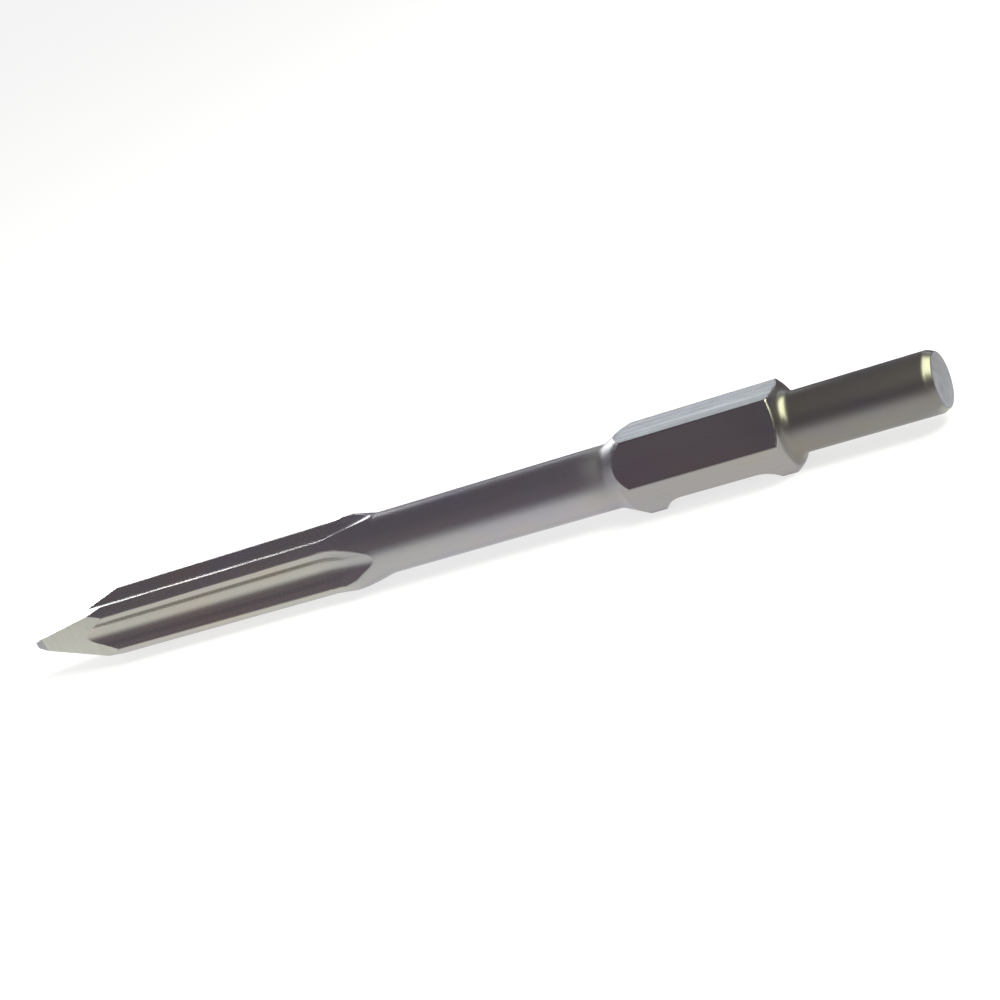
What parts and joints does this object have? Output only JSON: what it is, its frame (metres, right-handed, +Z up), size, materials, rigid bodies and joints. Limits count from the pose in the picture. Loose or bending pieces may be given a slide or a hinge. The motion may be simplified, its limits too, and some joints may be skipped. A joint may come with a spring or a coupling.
{
  "type": "point chisel bit",
  "caption": "Forged steel point chisel bit with a fluted point, a round shaft, a notched hexagonal guide and a round striking shank.",
  "frame": {"origin": "centre of the bounding box at its base: under the axis at mid-length, on the plane of the guide's lower, notched flat", "axes": "+X along the axis from the point to the striking end, +Z up, square to the guide's notched flat, +Y across"},
  "size_m": [0.41, 0.0342, 0.03],
  "materials": {
    "forged_steel": "bright machined and polished shank and guide, forged flutes, ground point"
  },
  "bodies": {
    "root": {"chisel_bit": "forged_steel"}
  },
  "joints": []
}
